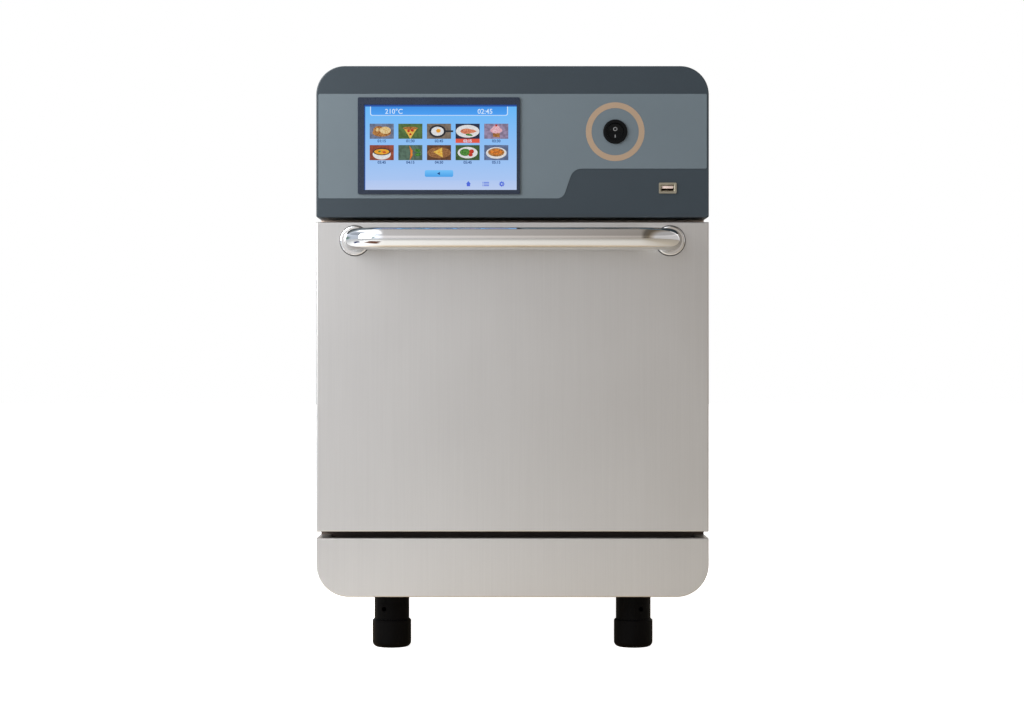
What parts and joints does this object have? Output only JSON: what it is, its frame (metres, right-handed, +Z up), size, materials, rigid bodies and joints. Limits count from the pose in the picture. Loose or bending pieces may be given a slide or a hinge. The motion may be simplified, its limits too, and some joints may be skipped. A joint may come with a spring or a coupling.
{
  "type": "speed oven",
  "caption": "Countertop speed oven: narrow steel cabinet on short adjustable feet, drop-down door with bar handle, touch-screen panel, hot-air and microwave cavity.",
  "frame": {"origin": "on the surface the oven stands on, under the middle of its overall box", "axes": "+Z up, the door faces -Y, +X is to the right of someone who faces the door"},
  "size_m": [0.4024, 0.673, 0.596],
  "materials": {
    "cover_steel": "satin",
    "door_steel": "satin",
    "inner_steel": "bright",
    "galvanised": "galvanised",
    "dark_enamel": "heat-proof enamel",
    "polished": "polished",
    "slate_paint": "satin powder coat",
    "overlay_film": "matt printed film",
    "bezel_plastic": "satin",
    "screen_glass": "clear over a lit screen",
    "lcd": "matt",
    "board_green": "solder mask",
    "black_plastic": "fine grain",
    "rocker_black": "satin",
    "usb_metal": "plated",
    "silicone": "soft",
    "foot_black": "satin",
    "fibre": "ceramic fibre",
    "white_ceramic": "glazed ceramic",
    "zinc": "zinc plated",
    "motor_cast": "cast",
    "copper_winding": "varnished",
    "alu": "satin",
    "choke_plastic": "matt"
  },
  "bodies": {
    "cabinet": {"base_pan": "galvanised", "outer_cover": "cover_steel", "rear_panel": "cover_steel", "casing_screws": "zinc", "front_frame": "dark_enamel", "hinge_brackets": "zinc", "lower_front_panel": "door_steel", "control_housing": "slate_paint", "graphic_overlay": "overlay_film", "display_bezel": "bezel_plastic", "touch_glass": "screen_glass", "lcd_module": "lcd", "control_board": "board_green", "rocker_housing": "rocker_black", "usb_port": "usb_metal", "interlock_switches": "black_plastic", "cavity_liner": "inner_steel", "air_duct": "galvanised", "insulation": "fibre", "jet_plate": "inner_steel", "return_grille": "inner_steel", "ceramic_floor": "white_ceramic", "rack_rails": "inner_steel", "wire_rack": "polished", "heater_element": "inner_steel", "blower_motor": "motor_cast", "waveguide": "alu", "magnetron": "alu", "stirrer_motor": "motor_cast", "hv_transformer": "copper_winding", "hv_capacitor": "alu", "power_board": "board_green", "fan_frame": "black_plastic", "fan_guard": "polished", "vent_tube": "inner_steel", "cable_gland": "black_plastic", "leg_sleeves": "foot_black", "leg_bolts": "zinc"},
    "door": {"door_skin": "door_steel", "door_inner_panel": "inner_steel", "choke_cover": "choke_plastic", "door_gasket": "silicone", "door_insulation": "fibre", "handle_tube": "polished", "handle_flanges": "polished", "handle_bolts": "zinc", "hinge_clevises": "zinc", "hinge_pins": "zinc", "hinge_washers": "zinc", "interlock_fingers": "black_plastic"},
    "rocker": {"rocker_paddle": "rocker_black"},
    "plungers": {"interlock_plungers": "white_ceramic"},
    "blower": {"blower_wheel": "inner_steel"},
    "stirrer": {"mode_stirrer": "alu"},
    "fan": {"fan_rotor": "black_plastic"},
    "filter": {"filter_cassette": "inner_steel"},
    "foot_fl": {"foot_front_left": "foot_black"},
    "foot_rl": {"foot_rear_left": "foot_black"},
    "foot_fr": {"foot_front_right": "foot_black"},
    "foot_rr": {"foot_rear_right": "foot_black"}
  },
  "joints": [
    {"name": "door_hinge", "type": "hinge", "parent": "cabinet", "child": "door", "pos_m": [0, -0.2675, 0.13], "axis": [1, 0, 0], "range_deg": [0, 90]},
    {"name": "rocker_tilt", "type": "hinge", "parent": "cabinet", "child": "rocker", "pos_m": [0.1045, -0.2773, 0.529], "axis": [-1, 0, 0], "range_deg": [0, 20]},
    {"name": "plunger_slide", "type": "slide", "parent": "cabinet", "child": "plungers", "axis": [0, -1, 0], "range_m": [0, 0.003]},
    {"name": "blower_spin", "type": "hinge", "parent": "cabinet", "child": "blower", "pos_m": [0, 0.109, 0.29], "axis": [0, 1, 0], "continuous": true},
    {"name": "stirrer_spin", "type": "hinge", "parent": "cabinet", "child": "stirrer", "pos_m": [0, -0.068, 0.18], "axis": [0, 0, 1], "continuous": true},
    {"name": "fan_spin", "type": "hinge", "parent": "cabinet", "child": "fan", "pos_m": [-0.115, 0.3105, 0.14], "axis": [0, 1, 0], "continuous": true},
    {"name": "filter_slide", "type": "slide", "parent": "cabinet", "child": "filter", "axis": [0, 0, 1], "range_m": [0, 0.13]},
    {"name": "foot_fl_screw", "type": "slide", "parent": "cabinet", "child": "foot_fl", "axis": [0, 0, -1], "range_m": [0, 0.012]},
    {"name": "foot_rl_screw", "type": "slide", "parent": "cabinet", "child": "foot_rl", "axis": [0, 0, -1], "range_m": [0, 0.012]},
    {"name": "foot_fr_screw", "type": "slide", "parent": "cabinet", "child": "foot_fr", "axis": [0, 0, -1], "range_m": [0, 0.012]},
    {"name": "foot_rr_screw", "type": "slide", "parent": "cabinet", "child": "foot_rr", "axis": [0, 0, -1], "range_m": [0, 0.012]}
  ],
  "couplings": [
    {"joint": "plunger_slide", "follows": "door_hinge", "m_per_rad": 0.0019}
  ]
}
